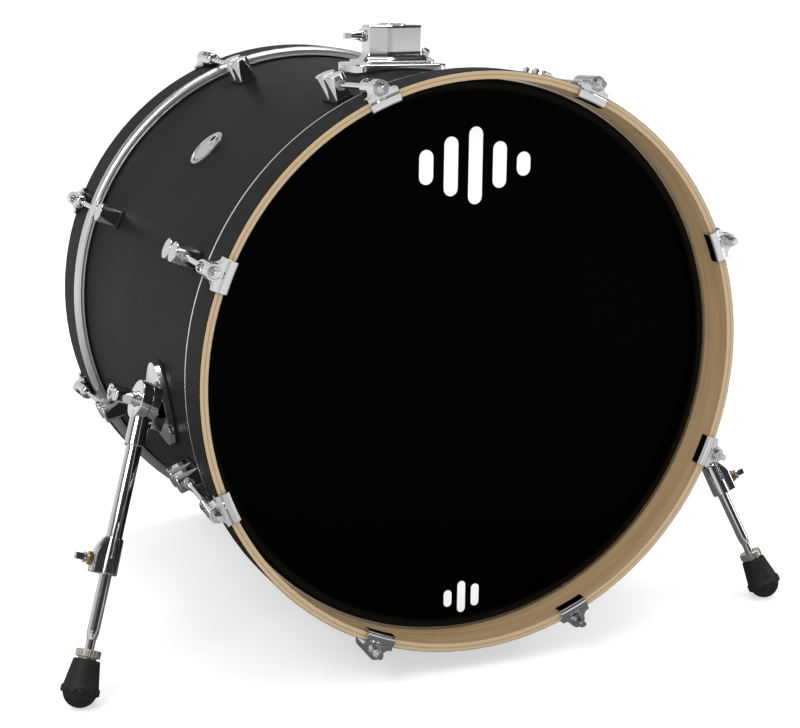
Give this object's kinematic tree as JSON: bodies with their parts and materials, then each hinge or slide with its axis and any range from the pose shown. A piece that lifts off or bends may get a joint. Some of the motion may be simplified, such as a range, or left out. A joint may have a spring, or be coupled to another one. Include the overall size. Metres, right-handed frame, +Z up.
{
  "type": "bass drum",
  "caption": "Floor-standing bass drum with wooden shell and hoops, black heads, chrome claws and lugs, folding spur legs and a tom post receiver.",
  "frame": {"origin": "on the floor under the middle of the drum's overall bounding box", "axes": "+X to the right seen from the front head, +Y from the front head to the rear head, +Z up; the shell leans back about X by 2.67 degrees so that it rests on the rear hoop and both spur feet"},
  "size_m": [0.829, 0.5874, 0.6318],
  "materials": {
    "maple": "clear sealed maple ply",
    "maple_hoop": "satin lacquered maple ply, plies visible on the edge",
    "carbon_wrap": "satin black laminate with a fine woven rib",
    "black_film": "smooth gloss black film",
    "aluminium": "satin",
    "badge": "polished plate, plain",
    "chrome": "polished chrome plating",
    "zinc_steel": "zinc plated",
    "satin_steel": "satin nickel, knurled",
    "brass": "turned",
    "rubber": "matt black"
  },
  "bodies": {
    "drum": {"shell": "maple", "shell_wrap": "carbon_wrap", "front_hoop": "maple_hoop", "rear_hoop": "maple_hoop", "hoop_inlays": "carbon_wrap", "front_head": "black_film", "rear_head": "black_film", "flesh_hoops": "aluminium", "vent_badge": "badge", "vent_grommet": "chrome", "claws": "chrome", "claw_pads": "rubber", "rod_washers": "zinc_steel", "swivel_nuts": "zinc_steel", "lugs": "chrome", "lug_gaskets": "rubber", "lug_screws": "zinc_steel", "tom_mount_base": "chrome", "tom_mount_hex_bolt": "chrome", "mounting_screws": "zinc_steel", "mounting_gaskets": "rubber", "left_spur_bracket": "chrome", "right_spur_bracket": "chrome", "spur_pivot_bolts": "chrome", "spur_pivot_washers": "chrome"},
    "front_tension_rod_1": {"front_tension_rod_1": "chrome"},
    "front_tension_rod_2": {"front_tension_rod_2": "chrome"},
    "front_tension_rod_3": {"front_tension_rod_3": "chrome"},
    "front_tension_rod_4": {"front_tension_rod_4": "chrome"},
    "front_tension_rod_5": {"front_tension_rod_5": "chrome"},
    "front_tension_rod_6": {"front_tension_rod_6": "chrome"},
    "front_tension_rod_7": {"front_tension_rod_7": "chrome"},
    "front_tension_rod_8": {"front_tension_rod_8": "chrome"},
    "rear_tension_rod_1": {"rear_tension_rod_1": "chrome"},
    "rear_tension_rod_2": {"rear_tension_rod_2": "chrome"},
    "rear_tension_rod_3": {"rear_tension_rod_3": "chrome"},
    "rear_tension_rod_4": {"rear_tension_rod_4": "chrome"},
    "rear_tension_rod_5": {"rear_tension_rod_5": "chrome"},
    "rear_tension_rod_6": {"rear_tension_rod_6": "chrome"},
    "rear_tension_rod_7": {"rear_tension_rod_7": "chrome"},
    "rear_tension_rod_8": {"rear_tension_rod_8": "chrome"},
    "tom_mount_key_bolt": {"tom_mount_key_bolt": "chrome"},
    "left_spur_leg": {"left_spur_leg": "chrome", "left_spur_outer_tube": "chrome", "left_spur_height_collar": "chrome", "left_spur_lock_nut": "brass"},
    "left_spur_inner_rod": {"left_spur_inner_rod": "chrome"},
    "left_spur_clamp_screw": {"left_spur_clamp_screw": "chrome"},
    "left_spur_jam_nut": {"left_spur_jam_nut": "satin_steel"},
    "left_spur_rubber_foot": {"left_spur_rubber_foot": "rubber"},
    "left_spur_wing_nut": {"left_spur_wing_nut": "chrome"},
    "right_spur_leg": {"right_spur_leg": "chrome", "right_spur_outer_tube": "chrome", "right_spur_height_collar": "chrome", "right_spur_lock_nut": "brass"},
    "right_spur_inner_rod": {"right_spur_inner_rod": "chrome"},
    "right_spur_clamp_screw": {"right_spur_clamp_screw": "chrome"},
    "right_spur_jam_nut": {"right_spur_jam_nut": "satin_steel"},
    "right_spur_rubber_foot": {"right_spur_rubber_foot": "rubber"},
    "right_spur_wing_nut": {"right_spur_wing_nut": "chrome"}
  },
  "joints": [
    {"name": "front_tension_rod_1_turn", "type": "hinge", "parent": "drum", "child": "front_tension_rod_1", "pos_m": [0.2768, -0.27166, 0.4311], "axis": [0.0377, -0.9974, 0.0621], "continuous": true},
    {"name": "front_tension_rod_2_turn", "type": "hinge", "parent": "drum", "child": "front_tension_rod_2", "pos_m": [0.11466, -0.2641, 0.59307], "axis": [0.0156, -0.9963, 0.0842], "continuous": true},
    {"name": "front_tension_rod_3_turn", "type": "hinge", "parent": "drum", "child": "front_tension_rod_3", "pos_m": [-0.11466, -0.2641, 0.59307], "axis": [-0.0156, -0.9963, 0.0842], "continuous": true},
    {"name": "front_tension_rod_4_turn", "type": "hinge", "parent": "drum", "child": "front_tension_rod_4", "pos_m": [-0.2768, -0.27166, 0.4311], "axis": [-0.0377, -0.9974, 0.0621], "continuous": true},
    {"name": "front_tension_rod_5_turn", "type": "hinge", "parent": "drum", "child": "front_tension_rod_5", "pos_m": [-0.2768, -0.28234, 0.20203], "axis": [-0.0377, -0.9988, 0.031], "continuous": true},
    {"name": "front_tension_rod_6_turn", "type": "hinge", "parent": "drum", "child": "front_tension_rod_6", "pos_m": [-0.11466, -0.28989, 0.04006], "axis": [-0.0156, -0.9998, 0.0089], "continuous": true},
    {"name": "front_tension_rod_7_turn", "type": "hinge", "parent": "drum", "child": "front_tension_rod_7", "pos_m": [0.11466, -0.28989, 0.04006], "axis": [0.0156, -0.9998, 0.0089], "continuous": true},
    {"name": "front_tension_rod_8_turn", "type": "hinge", "parent": "drum", "child": "front_tension_rod_8", "pos_m": [0.2768, -0.28234, 0.20203], "axis": [0.0377, -0.9988, 0.031], "continuous": true},
    {"name": "rear_tension_rod_1_turn", "type": "hinge", "parent": "drum", "child": "rear_tension_rod_1", "pos_m": [-0.2768, 0.28234, 0.40526], "axis": [-0.0377, 0.9988, -0.031], "continuous": true},
    {"name": "rear_tension_rod_2_turn", "type": "hinge", "parent": "drum", "child": "rear_tension_rod_2", "pos_m": [-0.11466, 0.28989, 0.56723], "axis": [-0.0156, 0.9998, -0.0089], "continuous": true},
    {"name": "rear_tension_rod_3_turn", "type": "hinge", "parent": "drum", "child": "rear_tension_rod_3", "pos_m": [0.11466, 0.28989, 0.56723], "axis": [0.0156, 0.9998, -0.0089], "continuous": true},
    {"name": "rear_tension_rod_4_turn", "type": "hinge", "parent": "drum", "child": "rear_tension_rod_4", "pos_m": [0.2768, 0.28234, 0.40526], "axis": [0.0377, 0.9988, -0.031], "continuous": true},
    {"name": "rear_tension_rod_5_turn", "type": "hinge", "parent": "drum", "child": "rear_tension_rod_5", "pos_m": [0.2768, 0.27166, 0.1762], "axis": [0.0377, 0.9974, -0.0621], "continuous": true},
    {"name": "rear_tension_rod_6_turn", "type": "hinge", "parent": "drum", "child": "rear_tension_rod_6", "pos_m": [0.11466, 0.2641, 0.01423], "axis": [0.0156, 0.9963, -0.0842], "continuous": true},
    {"name": "rear_tension_rod_7_turn", "type": "hinge", "parent": "drum", "child": "rear_tension_rod_7", "pos_m": [-0.11466, 0.2641, 0.01423], "axis": [-0.0156, 0.9963, -0.0842], "continuous": true},
    {"name": "rear_tension_rod_8_turn", "type": "hinge", "parent": "drum", "child": "rear_tension_rod_8", "pos_m": [-0.2768, 0.27166, 0.1762], "axis": [-0.0377, 0.9974, -0.0621], "continuous": true},
    {"name": "tom_mount_key_bolt_turn", "type": "hinge", "parent": "drum", "child": "tom_mount_key_bolt", "pos_m": [-0.045, -0.01664, 0.61877], "axis": [-1, 0, 0], "continuous": true},
    {"name": "left_spur_fold", "type": "hinge", "parent": "drum", "child": "left_spur_leg", "pos_m": [-0.29995, -0.11054, 0.26804], "axis": [0.9367, -0.0163, -0.3498], "range_deg": [-12, 105]},
    {"name": "left_spur_height", "type": "slide", "parent": "left_spur_leg", "child": "left_spur_inner_rod", "axis": [0.3307, 0.3694, 0.8684], "range_m": [-0.055, 0.045]},
    {"name": "left_spur_clamp_turn", "type": "hinge", "parent": "left_spur_leg", "child": "left_spur_clamp_screw", "pos_m": [-0.38041, -0.17068, 0.13541], "axis": [-0.9367, 0.0163, 0.3498], "continuous": true},
    {"name": "left_spur_wing_nut_turn", "type": "hinge", "parent": "drum", "child": "left_spur_wing_nut", "pos_m": [-0.32336, -0.11014, 0.27679], "axis": [-0.9367, 0.0163, 0.3498], "continuous": true},
    {"name": "left_spur_jam_nut_turn", "type": "hinge", "parent": "left_spur_inner_rod", "child": "left_spur_jam_nut", "pos_m": [-0.38394, -0.20438, 0.04746], "axis": [0.3307, 0.3694, 0.8684], "continuous": true},
    {"name": "left_spur_foot_turn", "type": "hinge", "parent": "left_spur_inner_rod", "child": "left_spur_rubber_foot", "pos_m": [-0.39089, -0.21214, 0.02923], "axis": [0.3307, 0.3694, 0.8684], "continuous": true},
    {"name": "right_spur_fold", "type": "hinge", "parent": "drum", "child": "right_spur_leg", "pos_m": [0.29995, -0.11054, 0.26804], "axis": [0.9367, 0.0163, 0.3498], "range_deg": [-12, 105]},
    {"name": "right_spur_height", "type": "slide", "parent": "right_spur_leg", "child": "right_spur_inner_rod", "axis": [-0.3307, 0.3694, 0.8684], "range_m": [-0.055, 0.045]},
    {"name": "right_spur_clamp_turn", "type": "hinge", "parent": "right_spur_leg", "child": "right_spur_clamp_screw", "pos_m": [0.38041, -0.17068, 0.13541], "axis": [0.9367, 0.0163, 0.3498], "continuous": true},
    {"name": "right_spur_wing_nut_turn", "type": "hinge", "parent": "drum", "child": "right_spur_wing_nut", "pos_m": [0.32336, -0.11014, 0.27679], "axis": [0.9367, 0.0163, 0.3498], "continuous": true},
    {"name": "right_spur_jam_nut_turn", "type": "hinge", "parent": "right_spur_inner_rod", "child": "right_spur_jam_nut", "pos_m": [0.38394, -0.20438, 0.04746], "axis": [-0.3307, 0.3694, 0.8684], "continuous": true},
    {"name": "right_spur_foot_turn", "type": "hinge", "parent": "right_spur_inner_rod", "child": "right_spur_rubber_foot", "pos_m": [0.39089, -0.21214, 0.02923], "axis": [-0.3307, 0.3694, 0.8684], "continuous": true}
  ]
}
